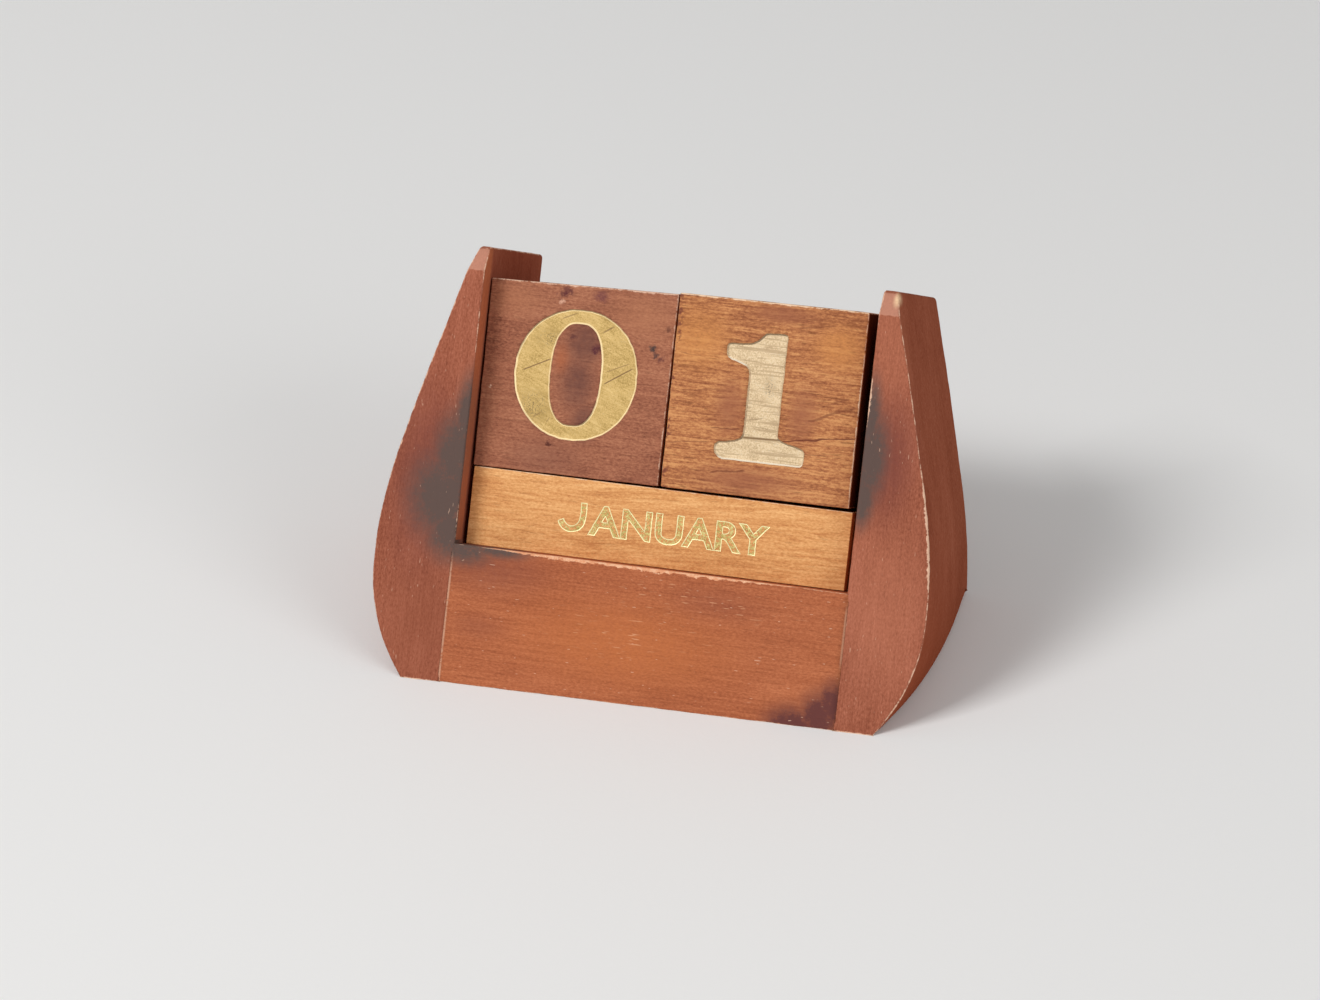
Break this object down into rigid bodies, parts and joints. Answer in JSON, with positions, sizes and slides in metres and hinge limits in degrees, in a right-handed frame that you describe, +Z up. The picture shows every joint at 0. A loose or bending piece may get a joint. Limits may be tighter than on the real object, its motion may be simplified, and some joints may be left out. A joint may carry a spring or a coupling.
{
  "type": "perpetual desk calendar",
  "caption": "Wooden perpetual desk calendar: number cubes stand on reversible month slats in a tray that leans back between two bulging cheeks.",
  "frame": {"origin": "centre of the bounding box at the height of the surface it stands on", "axes": "+X to the right as the numbers are read, +Y to the back, +Z up; the front faces -Y and leans back 28.9 degrees"},
  "size_m": [0.1124, 0.086, 0.0746],
  "materials": {
    "cheek_wood": "red-brown stain under a worn satin lacquer, pale along the arrises",
    "rail_wood": "red-brown stain under a worn satin lacquer, grain across",
    "tens_wood": "dark red-brown stain with dark specks, satin",
    "units_wood": "golden brown with redder streaks, satin",
    "slat_wood": "light honey, satin, grain along the slat",
    "dowel_wood": "bare pale wood"
  },
  "bodies": {
    "tray": {"cheek_left": "cheek_wood", "cheek_right": "cheek_wood", "base_block": "rail_wood", "back_panel": "rail_wood", "dowel_left_front": "dowel_wood", "dowel_left_back": "dowel_wood", "dowel_right_front": "dowel_wood", "dowel_right_back": "dowel_wood"},
    "tens_cube": {"cube_tens": "tens_wood"},
    "units_cube": {"cube_units": "units_wood"},
    "slat_1": {"month_slat_1": "slat_wood"},
    "slat_2": {"month_slat_2": "slat_wood"},
    "slat_3": {"month_slat_3": "slat_wood"},
    "slat_4": {"month_slat_4": "slat_wood"},
    "slat_5": {"month_slat_5": "slat_wood"},
    "slat_6": {"month_slat_6": "slat_wood"}
  },
  "joints": [
    {"name": "tens_cube_lift", "type": "slide", "parent": "tray", "child": "tens_cube", "axis": [0, 0.4829, 0.8757], "range_m": [0, 0.045]},
    {"name": "units_cube_lift", "type": "slide", "parent": "tray", "child": "units_cube", "axis": [0, 0.4829, 0.8757], "range_m": [0, 0.045]},
    {"name": "slat_6_draw", "type": "slide", "parent": "tray", "child": "slat_6", "axis": [0, -0.8757, 0.4829], "range_m": [0, 0.045]},
    {"name": "slat_5_draw", "type": "slide", "parent": "slat_6", "child": "slat_5", "axis": [0, -0.8757, 0.4829], "range_m": [0, 0.0386]},
    {"name": "slat_4_draw", "type": "slide", "parent": "slat_5", "child": "slat_4", "axis": [0, -0.8757, 0.4829], "range_m": [0, 0.0322]},
    {"name": "slat_3_draw", "type": "slide", "parent": "slat_4", "child": "slat_3", "axis": [0, -0.8757, 0.4829], "range_m": [0, 0.0258]},
    {"name": "slat_2_draw", "type": "slide", "parent": "slat_3", "child": "slat_2", "axis": [0, -0.8757, 0.4829], "range_m": [0, 0.0194]},
    {"name": "slat_1_draw", "type": "slide", "parent": "slat_2", "child": "slat_1", "axis": [0, -0.8757, 0.4829], "range_m": [0, 0.013]}
  ]
}
